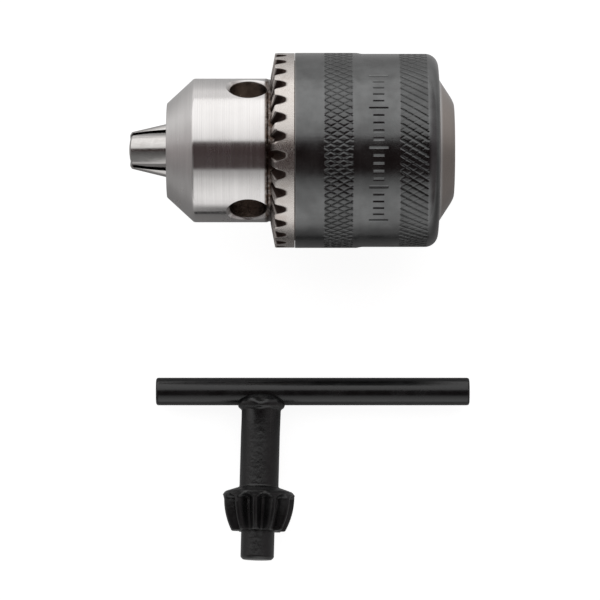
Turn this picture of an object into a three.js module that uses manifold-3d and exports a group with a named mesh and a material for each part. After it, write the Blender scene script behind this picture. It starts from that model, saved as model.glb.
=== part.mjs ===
// A keyed three-jaw drill chuck lying on its side, with its T-handle key beside it.
// Millimetres, +Z up. The origin is on the table under the centre of the whole set. The chuck axis runs
// along X with the nose towards -X; the key's handle bar runs along X and its stem points towards -Y.

import * as THREE from 'three';
import { ConvexGeometry } from 'three/addons/geometries/ConvexGeometry.js';
import { mergeVertices } from 'three/addons/utils/BufferGeometryUtils.js';
import Module from 'manifold-3d';

const wasm = await Module();
wasm.setup();

const DEG = Math.PI / 180;
const TURN = 2 * Math.PI;

// ---- Driving dimensions. S values are distances back from the chuck's nose face, along its axis. ----

const GAP = 0.2; // running and seating clearance between neighbouring pieces
const ROUND = 36; // facets round the large turned pieces

const NOSE_X = -24.6; // the nose face, from the origin
const CHUCK_Y = 29.33; // the chuck axis, from the origin
const SHELL_RADIUS = 18.05; // the largest radius, which rests on the table
const SHELL_REAR_RADIUS = 17.87; // behind the front knurl

const NOSE_FACE_RADIUS = 8.7;
const NOSE_RADIUS = 13.3;
const NOSE_CONE_S = 5.0; // where the nose cone meets the cylinder
const NOSE_END_S = 18.5; // rear shoulder of the nose cylinder
const TOOL_BORE_RADIUS = 5.3; // clears a 10 mm shank
const TOOL_BORE_END_S = 31.5;
const TAIL_RADIUS = 13.2;
const TAIL_LAND_S = 50.9; // where the tail's cylindrical land ends
const TAIL_FACE_RADIUS = 8.6;
const REAR_S = 53.05; // rear face, the spindle side

const TAPER_MOUTH_RADIUS = 12.065 / 2; // B12 short taper
const TAPER_DEPTH = 18.5;
const TAPER_SLOPE = 1 / 40; // radius lost per millimetre of depth, a 1:20 cone on diameter

const KEY_HOLE_S = 15.1;
const KEY_HOLE_RADIUS = 3.47;
const KEY_HOLE_FLOOR = 7.9; // distance of the hole's flat floor from the chuck axis
const KEY_HOLE_ANGLES = [60, 180, 300]; // from +Z towards +Y, between the jaws

const JAW_ANGLES = [0, 120, 240]; // from +Z towards +Y
const JAW_RADIUS = 3.4;
const JAW_SLANT = 15.5 * DEG;
const JAW_NOSE_OFFSET = 1.7; // jaw axis to chuck axis, in the nose face
const JAW_TIP_S = -7.35;
const JAW_REAR_S = 26.7;
const JAW_TRAVEL = 15.9; // along the jaw's own line, from closed to 10 mm open
const JAW_FACE_OFFSET = 0.3; // half the slot between two closed jaws
const JAW_GRIP = 0.75; // gripping land to chuck axis, for a 1.5 mm drill
const JAW_HOLE_CLEARANCE = 0.2;

const THREAD_PITCH = 2.0; // along the jaw's line
const THREAD_CREST = 0.6; // width of the nut thread's crest
const THREAD_BASE = 1.0; // width at its root
const THREAD_DEPTH = 0.65; // how far it reaches into the jaw
const THREAD_PLAY = 0.22;
const THREAD_RELIEF = 0.25; // from the jaw's outside to the nut's own bore
const THREAD_TURNS = 1.9; // each way from the nut's middle
const THREAD_START_S = 5.6; // first thread groove of a closed jaw

const NUT_FRONT_S = 21.9;
const NUT_REAR_S = 27.4;
const NUT_GROOVE_RADIUS = 10.1; // bottom of the body's groove for the nut
const THRUST_RING_WIDTH = 1.2;
const FLANGE_RADIUS = 15.3; // body shoulder behind the thrust ring
const FLANGE_END_S = 33;

const GEAR_TEETH = 32;
const GEAR_RADIUS = 18.0;
const GEAR_BORE = 13.5;
const GEAR_TIP_S = 20.0; // tooth tips at the outer radius
const GEAR_TIP_INNER_S = 19.15;
const GEAR_ROOT_S = 21.5; // tooth roots at the outer radius
const GEAR_BACK_S = 23.6; // rear edge of the bare ring
const GEAR_FIRST_NOTCH = -4.85; // degrees from +Z towards +Y
const GEAR_GAP_ROOT = 0.38; // half widths of the gap between two teeth, at its root
const GEAR_GAP_MOUTH = 2.4; // and at its mouth
const GEAR_GAP_DEPTH = 3.7; // from that root to that mouth
const SKIRT_OUTER = 16.6; // thin skirt that carries the grip shell
const SKIRT_INNER = 15.6;
const SKIRT_END_S = 36;

const SHELL_INNER = 16.85;
const SHELL_FRONT_S = 23.75;
const SHELL_REAR_S = 50.3;
const SHELL_STEP_S = 35;
const SHELL_CORNER = 2.2;
const LIP_FRONT_S = 48.9;

const BAR_RADIUS = 2.6;
const BAR_LENGTH = 59;
const BAR_MIDDLE_X = 2.4;
const BAR_Y = -15.6;
const STEM_X = -7.25; // where the stem leaves the bar
const STEM_YAW = 1.45 * DEG; // the stem leans slightly off square in the weld
const STEM_RADIUS = 3.67;
const COLLAR_RADIUS = 4.5; // weld collar at the bar
const COLLAR_START = 1.4; // distances along the stem from the bar's axis
const COLLAR_FULL_AT = 2.1;
const COLLAR_END = 3.9;
const SHOULDER_AT = 18.4;
const PINION_WIDEST_AT = 19.9;
const PINION_END_AT = 26.3;
const PILOT_END_AT = 31.7;
const PINION_RADIUS = 6.7;
const PINION_BELLY_AT = 23.2; // the pinion is barrel-shaped, not a plain cone
const PINION_BELLY_RADIUS = 6.15;
const PINION_END_RADIUS = 5.1;
const PINION_TEETH = 11;
const PINION_DEPTH = 1.9;
const PINION_GAP_ROOT = 0.55; // half widths of the gap between two teeth, at its root
const PINION_GAP_MOUTH = 2.0; // and above the tooth tips
const PINION_FIRST_TOOTH = -6 * DEG; // from the key's upper side, towards +X on the table
const PILOT_RADIUS = 3.14;
const BAR_SEAT_GAP = 0.3;

// ---- Values that follow from them. ----

const SLOPE = Math.tan(JAW_SLANT);
const AXIAL_PITCH = THREAD_PITCH * Math.cos(JAW_SLANT);
const JAW_LIFT = JAW_TRAVEL * Math.sin(JAW_SLANT); // radial part of the jaw's travel
const JAW_BACKWARD = JAW_TRAVEL * Math.cos(JAW_SLANT);
const jawAxisRadius = (s) => JAW_NOSE_OFFSET + s * SLOPE;
const jawOuterRadius = (s) => jawAxisRadius(s) + JAW_RADIUS / Math.cos(JAW_SLANT);
const crestRadius = (s) => jawOuterRadius(s) - THREAD_DEPTH;
const rootRadius = (s) => jawOuterRadius(s) + THREAD_RELIEF;

// ---- Materials. ----

const steel = (color, roughness) => new THREE.MeshStandardMaterial({ color, roughness, metalness: 1 });
const MATERIALS = {
  turned: steel(0xb9b4ae, 0.32),
  ring: steel(0xc3bdb4, 0.4),
  blackened: steel(0x55555a, 0.36),
  hardened: steel(0x8f8b86, 0.34),
  nut: steel(0x77736e, 0.45),
  key: steel(0x2b2a2b, 0.42),
};

// ---- Small geometry tools. ----

function toSolid(geometry) {
  const bare = geometry.clone();
  bare.deleteAttribute('normal');
  bare.deleteAttribute('uv');
  const welded = mergeVertices(bare, 1e-4);
  const index = Array.from(welded.index.array);
  const triVerts = [];
  for (let i = 0; i < index.length; i += 3) {
    const [a, b, c] = index.slice(i, i + 3);
    if (a !== b && b !== c && c !== a) triVerts.push(a, b, c);
  }
  return new wasm.Manifold(new wasm.Mesh({
    numProp: 3,
    vertProperties: new Float32Array(welded.attributes.position.array),
    triVerts: new Uint32Array(triVerts),
  }));
}

function toGeometry(solid) {
  const mesh = solid.getMesh();
  const geometry = new THREE.BufferGeometry();
  geometry.setAttribute('position', new THREE.BufferAttribute(new Float32Array(mesh.vertProperties), 3));
  geometry.setIndex(new THREE.BufferAttribute(new Uint32Array(mesh.triVerts), 1));
  geometry.computeVertexNormals();
  return geometry;
}

function named(name, solid, material) {
  const mesh = new THREE.Mesh(toGeometry(solid), material);
  mesh.name = name;
  return mesh;
}

// A solid of revolution about X from [radius, s] points, with material to the left of the outline.
function turned(outline, closed = false, facets = ROUND) {
  const points = outline.map(([radius, s]) => new THREE.Vector2(radius, s));
  if (closed) points.push(points[0].clone());
  return toSolid(new THREE.LatheGeometry(points, facets).rotateZ(-Math.PI / 2));
}

// A straight cylinder along X between two s values.
function rod(radius, from, to, facets) {
  const geometry = new THREE.CylinderGeometry(radius, radius, to - from, facets);
  return geometry.rotateZ(-Math.PI / 2).translate((from + to) / 2, 0, 0);
}

// Turns something built towards +Z to stand at an angle from +Z towards +Y.
const atAngle = (geometry, degrees) => geometry.rotateX(-degrees * DEG);

// A closed skin through a row of equal loops of points, each loop counter-clockwise seen from the row's end.
function loft(loops) {
  const size = loops[0].length;
  const index = [];
  for (let row = 0; row < loops.length - 1; row++) {
    for (let i = 0; i < size; i++) {
      const a = row * size + i;
      const b = row * size + ((i + 1) % size);
      index.push(a, b, b + size, a, b + size, a + size);
    }
  }
  const last = (loops.length - 1) * size;
  for (let i = 1; i < size - 1; i++) {
    index.push(0, i + 1, i);
    index.push(last, last + i, last + i + 1);
  }
  const geometry = new THREE.BufferGeometry().setFromPoints(loops.flat());
  geometry.setIndex(index);
  return geometry;
}

// Points of a quarter round from one outline point to the next, bulging outwards.
function cornerArc(radius, centreRadius, centreS, steps) {
  return Array.from({ length: steps + 1 }, (_, i) => {
    const angle = (i / steps) * 90 * DEG;
    return [centreRadius + radius * Math.cos(angle), centreS + radius * Math.sin(angle)];
  });
}

// ---- Chuck body. ----

// The slanted cylinder that a jaw, or the hole it slides in, is cut from.
function jawRod(radius, fromS, toS, facets) {
  const scale = 1 / Math.cos(JAW_SLANT);
  return rod(radius, fromS * scale, toS * scale, facets).rotateY(-JAW_SLANT).translate(0, 0, JAW_NOSE_OFFSET);
}

function keyHole(degrees) {
  const depth = NOSE_RADIUS + 1 - KEY_HOLE_FLOOR;
  const hole = new THREE.CylinderGeometry(KEY_HOLE_RADIUS, KEY_HOLE_RADIUS, depth, 24).rotateX(Math.PI / 2);
  return toSolid(atAngle(hole.translate(KEY_HOLE_S, 0, KEY_HOLE_FLOOR + depth / 2), degrees));
}

function bodyOutline() {
  const taperFloor = TAPER_MOUTH_RADIUS - TAPER_DEPTH * TAPER_SLOPE;
  const grooveRear = NUT_REAR_S + 2 * GAP;
  const flangeFront = grooveRear + THRUST_RING_WIDTH;
  return [
    [0, TOOL_BORE_END_S],
    [TOOL_BORE_RADIUS, TOOL_BORE_END_S],
    [TOOL_BORE_RADIUS, 0.6],
    [TOOL_BORE_RADIUS + 0.6, 0],
    [NOSE_FACE_RADIUS, 0],
    [NOSE_RADIUS, NOSE_CONE_S],
    [NOSE_RADIUS, NOSE_END_S - 0.4],
    [NOSE_RADIUS - 0.4, NOSE_END_S],
    [NOSE_RADIUS - 0.4, NUT_FRONT_S - 0.3],
    [NUT_GROOVE_RADIUS, NUT_FRONT_S - 0.3],
    [NUT_GROOVE_RADIUS, grooveRear - GAP],
    [NOSE_RADIUS, grooveRear - GAP],
    [NOSE_RADIUS, flangeFront],
    [FLANGE_RADIUS, flangeFront],
    [FLANGE_RADIUS, FLANGE_END_S],
    [TAIL_RADIUS, FLANGE_END_S + 3],
    [TAIL_RADIUS, TAIL_LAND_S],
    [TAIL_FACE_RADIUS + 0.6, REAR_S - 0.3],
    [TAIL_FACE_RADIUS, REAR_S],
    [TAPER_MOUTH_RADIUS, REAR_S],
    [taperFloor, REAR_S - TAPER_DEPTH],
    [0, REAR_S - TAPER_DEPTH],
  ];
}

function chuckBody() {
  let body = turned(bodyOutline());
  const holeRadius = JAW_RADIUS + JAW_HOLE_CLEARANCE;
  const holeEnd = JAW_REAR_S + JAW_BACKWARD + 1;
  for (const angle of JAW_ANGLES) {
    body = body.subtract(toSolid(atAngle(jawRod(holeRadius, -3, holeEnd, 20), angle)));
  }
  for (const angle of KEY_HOLE_ANGLES) body = body.subtract(keyHole(angle));
  return body;
}

// ---- Jaws and split nut, which share one tapered thread. ----

// One cross-section of the thread at an angle from +Z towards +Y; grow widens it into the jaw's groove.
function threadSection(s, angle, grow, outward) {
  const flank = (THREAD_BASE - THREAD_CREST) / 2 / (THREAD_DEPTH + THREAD_RELIEF);
  const inner = THREAD_CREST / 2 + grow;
  const outer = inner + flank * (THREAD_DEPTH + outward);
  const corners = [
    [s - inner, crestRadius(s - inner) - grow],
    [s - outer, jawOuterRadius(s - outer) + outward],
    [s + outer, jawOuterRadius(s + outer) + outward],
    [s + inner, crestRadius(s + inner) - grow],
  ];
  return corners.map(([x, r]) => new THREE.Vector3(x, r * Math.sin(angle), r * Math.cos(angle)));
}

// Grooves follow the thread where it crosses the jaw at nut mid-length, so the jaw can slide past them.
function jawGrooves(degrees) {
  const middle = (NUT_FRONT_S + NUT_REAR_S) / 2;
  const phase = (-AXIAL_PITCH * degrees) / 360;
  const first = Math.ceil((THREAD_START_S - middle - phase) / AXIAL_PITCH);
  const last = Math.ceil((JAW_REAR_S - middle - phase) / AXIAL_PITCH);
  const sections = [-28, -14, 0, 14, 28].map((angle) => angle * DEG);
  const grooves = [];
  for (let n = first; n <= last; n++) {
    const back = phase + n * AXIAL_PITCH;
    const loops = sections.map((a) => threadSection(middle - (AXIAL_PITCH * a) / TURN, a, THREAD_PLAY, 0.7));
    grooves.push(toSolid(loft(loops).translate(back, 0, back * SLOPE)));
  }
  return grooves;
}

function jawWedge() {
  const edge = (height) => (height * Math.sin(60 * DEG) - JAW_FACE_OFFSET) / Math.cos(60 * DEG);
  const top = SHELL_INNER - 0.35 - JAW_LIFT; // clears the shell when the chuck is fully open
  const outline = new THREE.Shape([
    new THREE.Vector2(-edge(JAW_GRIP), JAW_GRIP),
    new THREE.Vector2(edge(JAW_GRIP), JAW_GRIP),
    new THREE.Vector2(edge(top), top),
    new THREE.Vector2(-edge(top), top),
  ]);
  const wedge = new THREE.ExtrudeGeometry(outline, { depth: 50, bevelEnabled: false });
  // shape x -> Y, shape y -> Z, extrusion -> X
  return wedge.rotateY(Math.PI / 2).rotateX(Math.PI / 2).translate(-15, 0, 0);
}

function jaw(degrees) {
  const envelope = turned([[0, JAW_TIP_S], [2.5, JAW_TIP_S], [3.35, JAW_TIP_S + 0.75], [30, 40], [0, 40]]);
  let solid = toSolid(jawRod(JAW_RADIUS, JAW_TIP_S - 2, JAW_REAR_S, 20));
  solid = solid.intersect(toSolid(jawWedge())).intersect(envelope);
  for (const groove of jawGrooves(degrees)) solid = solid.subtract(groove);
  return toSolid(atAngle(toGeometry(solid), degrees));
}

function nutRing() {
  const outer = SKIRT_INNER - 0.25;
  const ring = turned([
    [rootRadius(NUT_FRONT_S), NUT_FRONT_S],
    [outer, NUT_FRONT_S],
    [outer, NUT_REAR_S],
    [rootRadius(NUT_REAR_S), NUT_REAR_S],
  ], true);
  const front = NUT_FRONT_S + 0.1;
  const rear = NUT_REAR_S - 0.1;
  const space = turned([[0, front], [outer - 0.5, front], [outer - 0.5, rear], [0, rear]]);
  const middle = (NUT_FRONT_S + NUT_REAR_S) / 2;
  const steps = Math.round(THREAD_TURNS * 2 * 28);
  const loops = Array.from({ length: steps + 1 }, (_, i) => {
    const angle = (i / steps * 2 - 1) * THREAD_TURNS * TURN;
    return threadSection(middle - (AXIAL_PITCH * angle) / TURN, angle, 0, 0.6);
  });
  return ring.add(toSolid(loft(loops)).intersect(space));
}

function nutHalf(side) {
  const half = new THREE.BoxGeometry(20, 40, 20);
  half.translate((NUT_FRONT_S + NUT_REAR_S) / 2, 0, side * (10 + GAP / 2));
  return nutRing().intersect(toSolid(half));
}

function thrustRing() {
  const front = NUT_REAR_S + GAP;
  const inner = GEAR_BORE;
  const outer = SKIRT_INNER - 0.3;
  const rear = front + THRUST_RING_WIDTH;
  return turned([[inner, front], [outer, front], [outer, rear], [inner, rear]], true);
}

// ---- Sleeve. ----

// The gap between two teeth, narrowing towards the point where key axis and chuck axis cross.
function toothGap(degrees) {
  const rootSlope = (GEAR_ROOT_S - KEY_HOLE_S) / GEAR_RADIUS;
  const points = [];
  for (const radius of [GEAR_BORE - 1, GEAR_RADIUS + 1]) {
    const scale = radius / GEAR_RADIUS;
    const rootS = KEY_HOLE_S + rootSlope * radius;
    for (const side of [-1, 1]) {
      points.push(new THREE.Vector3(rootS, side * GEAR_GAP_ROOT * scale, radius));
      points.push(new THREE.Vector3(rootS - GEAR_GAP_DEPTH * scale, side * GEAR_GAP_MOUTH * scale, radius));
    }
  }
  return toSolid(atAngle(new ConvexGeometry(points), degrees));
}

function gearSleeve() {
  const shoulderS = NUT_FRONT_S - 0.3;
  let sleeve = turned([
    [GEAR_BORE, GEAR_TIP_INNER_S],
    [GEAR_RADIUS, GEAR_TIP_S],
    [GEAR_RADIUS, GEAR_BACK_S],
    [SKIRT_OUTER, GEAR_BACK_S],
    [SKIRT_OUTER, SKIRT_END_S],
    [SKIRT_INNER, SKIRT_END_S],
    [SKIRT_INNER, shoulderS],
    [GEAR_BORE, shoulderS],
  ], true, GEAR_TEETH * 2);
  for (let i = 0; i < GEAR_TEETH; i++) {
    sleeve = sleeve.subtract(toothGap(GEAR_FIRST_NOTCH + (i * 360) / GEAR_TEETH));
  }
  return sleeve;
}

function gripShell() {
  const cornerS = SHELL_REAR_S - SHELL_CORNER;
  return turned([
    [SHELL_INNER, SHELL_FRONT_S],
    [SHELL_RADIUS, SHELL_FRONT_S],
    [SHELL_RADIUS, SHELL_STEP_S],
    [SHELL_REAR_RADIUS, SHELL_STEP_S + 0.3],
    ...cornerArc(SHELL_CORNER, SHELL_REAR_RADIUS - SHELL_CORNER, cornerS, 4),
    [GEAR_BORE, SHELL_REAR_S + 0.15],
    [GEAR_BORE, LIP_FRONT_S],
    [SHELL_INNER, LIP_FRONT_S],
  ], true);
}

// ---- Key. Built with the bar's axis along Y through the origin and the stem along +X. ----

function pinionGap(angle) {
  const rows = [[PINION_WIDEST_AT + 0.3, PINION_RADIUS], [PINION_END_AT + 0.5, PINION_END_RADIUS]];
  const points = [];
  for (const [at, radius] of rows) {
    const scale = radius / PINION_RADIUS;
    const root = radius - PINION_DEPTH * scale;
    for (const side of [-1, 1]) {
      points.push(new THREE.Vector3(at, side * PINION_GAP_ROOT * scale, root));
      points.push(new THREE.Vector3(at, side * PINION_GAP_MOUTH * scale, radius + 0.8));
    }
  }
  return toSolid(new ConvexGeometry(points).rotateX(-angle));
}

function keyShank() {
  let shank = turned([
    [0, COLLAR_START],
    [COLLAR_RADIUS - 0.6, COLLAR_START],
    [COLLAR_RADIUS, COLLAR_FULL_AT],
    [COLLAR_RADIUS, COLLAR_END - 1],
    [STEM_RADIUS, COLLAR_END],
    [STEM_RADIUS, SHOULDER_AT],
    [PINION_RADIUS - 0.9, SHOULDER_AT + 0.25],
    [PINION_RADIUS, PINION_WIDEST_AT],
    [PINION_BELLY_RADIUS, PINION_BELLY_AT],
    [PINION_END_RADIUS, PINION_END_AT],
    [PILOT_RADIUS, PINION_END_AT],
    [PILOT_RADIUS, PILOT_END_AT - 0.5],
    [PILOT_RADIUS - 0.45, PILOT_END_AT],
    [0, PILOT_END_AT],
  ], false, PINION_TEETH * 4);
  const seat = new THREE.CylinderGeometry(BAR_RADIUS + BAR_SEAT_GAP, BAR_RADIUS + BAR_SEAT_GAP, 20, 24);
  shank = shank.subtract(toSolid(seat));
  for (let i = 0; i < PINION_TEETH; i++) {
    shank = shank.subtract(pinionGap(PINION_FIRST_TOOTH + ((i + 0.5) * TURN) / PINION_TEETH));
  }
  return shank;
}

function keyBar() {
  const end = BAR_LENGTH / 2;
  const round = 0.5;
  return turned([
    [0, -end],
    [BAR_RADIUS - round, -end],
    [BAR_RADIUS, -end + round],
    [BAR_RADIUS, end - round],
    [BAR_RADIUS - round, end],
    [0, end],
  ], false, 24);
}

// The key rests on its weld collar and on the pinion, so the stem rises away from the bar by this angle.
const keyTilt = () => Math.atan2(PINION_RADIUS - COLLAR_RADIUS, PINION_WIDEST_AT - COLLAR_FULL_AT);

// Height of the bar's axis, which the collar holds clear of the table.
const barHeight = () => COLLAR_RADIUS * Math.cos(keyTilt()) - COLLAR_FULL_AT * Math.sin(keyTilt());

// ---- Assembly. ----

function chuck() {
  const group = new THREE.Group();
  group.position.set(NOSE_X, CHUCK_Y, SHELL_RADIUS);
  group.add(named('chuck_body', chuckBody(), MATERIALS.turned));
  JAW_ANGLES.forEach((angle, i) => group.add(named(`jaw_${i + 1}`, jaw(angle), MATERIALS.hardened)));
  group.add(named('nut_half_upper', nutHalf(1), MATERIALS.nut));
  group.add(named('nut_half_lower', nutHalf(-1), MATERIALS.nut));
  group.add(named('thrust_ring', thrustRing(), MATERIALS.hardened));
  group.add(named('gear_sleeve', gearSleeve(), MATERIALS.ring));
  group.add(named('grip_shell', gripShell(), MATERIALS.blackened));
  return group;
}

function key() {
  const bar = named('key_bar', keyBar(), MATERIALS.key);
  bar.position.set(BAR_MIDDLE_X, BAR_Y, barHeight());
  const shank = named('key_shank', keyShank(), MATERIALS.key);
  const place = new THREE.Group();
  place.position.set(STEM_X, BAR_Y, barHeight());
  place.rotation.set(0, 0, -Math.PI / 2 - STEM_YAW);
  shank.rotation.y = -keyTilt();
  place.add(shank);
  const group = new THREE.Group();
  group.add(bar, place);
  return group;
}

const part = new THREE.Group();
part.add(chuck(), key());

export default part;
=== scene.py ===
"""A keyed drill chuck lying beside its T-handle key, on a white table between two large softboxes.

Lengths in this script are millimetres, and `place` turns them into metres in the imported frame. On the
chuck, s is the distance back from the nose face, and an angle runs from straight up (+Z) towards +Y.
"""

import math

import bmesh
import bpy
import numpy as np
from mathutils import Euler, Matrix, Vector, noise


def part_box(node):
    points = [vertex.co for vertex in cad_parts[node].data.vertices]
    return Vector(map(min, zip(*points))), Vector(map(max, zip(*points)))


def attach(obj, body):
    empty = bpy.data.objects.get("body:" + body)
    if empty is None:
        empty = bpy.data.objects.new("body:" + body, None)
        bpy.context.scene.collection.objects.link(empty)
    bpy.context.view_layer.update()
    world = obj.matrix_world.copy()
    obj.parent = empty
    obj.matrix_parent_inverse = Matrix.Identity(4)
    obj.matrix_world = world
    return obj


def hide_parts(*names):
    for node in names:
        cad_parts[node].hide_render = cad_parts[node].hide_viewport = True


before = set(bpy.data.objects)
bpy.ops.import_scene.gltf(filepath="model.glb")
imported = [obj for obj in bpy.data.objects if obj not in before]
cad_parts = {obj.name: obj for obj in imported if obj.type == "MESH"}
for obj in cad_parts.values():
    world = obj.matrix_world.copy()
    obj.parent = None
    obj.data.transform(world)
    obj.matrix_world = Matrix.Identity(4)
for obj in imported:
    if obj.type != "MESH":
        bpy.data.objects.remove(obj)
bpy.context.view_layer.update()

MM = 0.001
DEG = math.pi / 180
TURN = 2 * math.pi

# ---- Places, read from the frame. ----

BODY_LOW, BODY_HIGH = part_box("chuck_body")
BAR_LOW, BAR_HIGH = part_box("key_bar")
NOSE_X = BODY_LOW.x / MM
CHUCK_Y = (BODY_LOW.y + BODY_HIGH.y) / 2 / MM
CHUCK_Z = (BODY_LOW.z + BODY_HIGH.z) / 2 / MM
REAR_S = (BODY_HIGH.x - BODY_LOW.x) / MM
BAR_X = (BAR_LOW.x + BAR_HIGH.x) / 2 / MM
BAR_Y = (BAR_LOW.y + BAR_HIGH.y) / 2 / MM
BAR_Z = (BAR_LOW.z + BAR_HIGH.z) / 2 / MM
BAR_RADIUS = (BAR_HIGH.z - BAR_LOW.z) / 2 / MM
BAR_LENGTH = (BAR_HIGH.x - BAR_LOW.x) / MM

# ---- Chuck dimensions. ----

NOSE_FACE_RADIUS = 8.7
NOSE_RADIUS = 13.3
NOSE_CONE_S = 5.0
NOSE_END_S = 18.5
TOOL_BORE_RADIUS = 5.3
TOOL_BORE_END_S = 31.5
NUT_GROOVE_S = (21.6, 27.6)
NUT_GROOVE_RADIUS = 10.1
FLANGE_RADIUS = 15.3
FLANGE_S = (29.0, 33.0)
TAIL_RADIUS = 13.2
TAIL_LAND_S = 50.25
TAIL_FACE_RADIUS = 8.6
TAPER_MOUTH_RADIUS = 12.065 / 2
TAPER_DEPTH = 18.5

KEY_HOLE_S = 15.1
KEY_HOLE_RADIUS = 3.38
KEY_HOLE_FLOOR = 7.9
KEY_HOLE_SINK = 0.75  # depth of the countersink
KEY_HOLE_ANGLES = (60, 180, 300)

JAW_ANGLES = (0, 120, 240)
JAW_RADIUS = 3.4
JAW_PLAY = 0.15  # between a jaw and its hole
JAW_CHAMFER = 0.7  # on a jaw's own square end
JAW_SLANT = 15.5 * DEG
JAW_NOSE_OFFSET = 1.7
JAW_TIP_S = -7.35
JAW_TIP_RADIUS = 2.9  # of the three jaws together, at their blunt tip and where its cone starts
JAW_CONE_RADIUS = 3.7
JAW_CONE_S = JAW_TIP_S + 0.6
JAW_EDGE = 0.09  # how far a jaw's edges are broken
JAW_END_S = -6.1  # where a jaw's own square end crosses its axis
JAW_REAR_S = 26.7
JAW_BACKWARD = 15.9 * math.cos(JAW_SLANT)
JAW_TOP = 12.25
JAW_FACE_OFFSET = 0.5  # half a slot between two jaws, with their worn edges
JAW_GRIP = 0.75

THREAD_PITCH = 2.0 * math.cos(JAW_SLANT)
THREAD_DEPTH = 0.65
THREAD_PLAY = 0.22
THREAD_HALF_ROOT = 0.52  # half widths of a groove at its root and above its mouth
THREAD_HALF_MOUTH = 0.87
THREAD_ABOVE = 0.7  # how far the cutter stands clear of the jaw
THREAD_REACH = 28 * DEG  # how far it runs to each side of a jaw
THREAD_START_S = 5.6
NUT_MIDDLE_S = 24.65

GEAR_TEETH = 32
GEAR_COLUMNS = 28  # mesh columns for each tooth
GEAR_RADIUS = 18.0
GEAR_BORE = 13.5
GEAR_TIP_S = 20.0
GEAR_TIP_INNER_S = 19.15
GEAR_ROOT_S = 21.5
GEAR_BACK_S = 23.6
GEAR_FIRST_GAP = -4.85 * DEG
GEAR_GAP_ROOT = 0.38  # half the width of a gap's floor
GEAR_GAP_FLANK = 0.546  # how much wider each side gets for each mm of height
GEAR_GAP_BLEND = 0.3
SKIRT_OUTER = 16.6  # the thin skirt carries the grip shell
SKIRT_INNER = 15.6
SKIRT_END_S = 36.0
SHOULDER_S = 21.6

SHELL_RADIUS = 18.05
SHELL_REAR_RADIUS = 17.87
SHELL_INNER = 16.85
SHELL_FRONT_S = 23.66
SHELL_STEP_S = 35.0
SHELL_REAR_S = 50.1
SHELL_CORNER = 2.4
LIP_FRONT_S = 48.9

KNURL_BANDS = ((29.0, 34.3), (42.8, 48.0))
KNURL_STARTS = 76
KNURL_LEAD = 2.25  # pitches that a groove shifts by across its band
KNURL_COLUMNS = 11  # mesh columns for each pitch
KNURL_ROWS = round(KNURL_LEAD * KNURL_COLUMNS) + 1  # rows for each band, about one column's lean apart
KNURL_DEPTH = 0.17
KNURL_HALF_WIDTH = 0.175
KNURL_SQUARE = 0.88  # about the cosine of the grooves' lean
KNURL_WEAKER = (0.9, 0.42)  # strength of each band's other hand of grooves
TICK_MIDDLE_S = 38.9
TICK_HALF = 1.0
TICK_LONG_HALF = 1.75
TICK_HALF_WIDTH = 0.2
TICK_DEPTH = 0.14
TICKS_EACH_SIDE = 10

# ---- Key dimensions. Distances run along the stem from the bar's axis. ----

STEM_X = -7.25
STEM_YAW = 1.45 * DEG
STEM_RADIUS = 3.67
COLLAR_RADIUS = 4.5
COLLAR_FULL_AT = 2.1
WELD_LUMP = 1.9  # size of the weld's lumps, and how far they stand out
WELD_HEIGHT = 0.38
SHOULDER_AT = 18.4
PINION_WIDEST_AT = 19.9
PINION_END_AT = 26.3
PILOT_END_AT = 31.7
PINION_RADIUS = 6.7
PINION_END_RADIUS = 5.1
PINION_TEETH = 11
PINION_COLUMNS = 32
PINION_DEPTH = 1.9
PINION_CROWN = 2.1  # power of the curve from its widest place to its end
PINION_GAP_ROOT = 0.45
PINION_GAP_FLANK = 0.62
PINION_GAP_BLEND = 0.35
PINION_FIRST_TOOTH = -6 * DEG
PILOT_RADIUS = 3.14
KEY_TILT = math.atan2(PINION_RADIUS - COLLAR_RADIUS, PINION_WIDEST_AT - COLLAR_FULL_AT)
KEY_FRAME = (
    Matrix.Translation(Vector((STEM_X, BAR_Y, BAR_Z)) * MM)
    @ Matrix.Rotation(-math.pi / 2 - STEM_YAW, 4, "Z")
    @ Matrix.Rotation(-KEY_TILT, 4, "Y")
)

# ---- Camera. ----

SENSOR_WIDTH = 36
LENS = 259.2
CAMERA_PLACE = (0, 1.64, 818)

# ---- Mesh tools. ----

SHARP_ANGLE = 32  # degrees between faces past which an edge is shaded sharp


def place(s, radius, angle):
    """World metres of chuck coordinates, which may be arrays."""
    x = (NOSE_X + s) * MM
    y = (CHUCK_Y + radius * np.sin(angle)) * MM
    z = (CHUCK_Z + radius * np.cos(angle)) * MM
    return np.stack(np.broadcast_arrays(x, y, z), axis=-1)


def place_key(along, radius, angle):
    """World metres of a point round the key's stem; the angle runs from its upper side towards +X."""
    parts = np.broadcast_arrays(along, radius * np.sin(angle), radius * np.cos(angle))
    local = np.stack(parts, axis=-1) * MM
    matrix = np.array(KEY_FRAME)
    return local @ matrix[:3, :3].T + matrix[:3, 3]


def finish_mesh(mesh, sharp_angle):
    """Shades a mesh smooth, with sharp edges past an angle in degrees."""
    mesh.validate()
    mesh.update()
    for polygon in mesh.polygons:
        polygon.use_smooth = True
    mesh.set_sharp_from_angle(angle=sharp_angle * DEG)


def link(name, mesh):
    """A new object in the scene that shows a mesh."""
    piece = bpy.data.objects.new(name, mesh)
    bpy.context.scene.collection.objects.link(piece)
    return piece


def new_piece(name, vertices, faces):
    """A new object with a mesh of these world points, in metres, and faces."""
    mesh = bpy.data.meshes.new(name)
    mesh.from_pydata(vertices, [], faces)
    return link(name, mesh)


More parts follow.
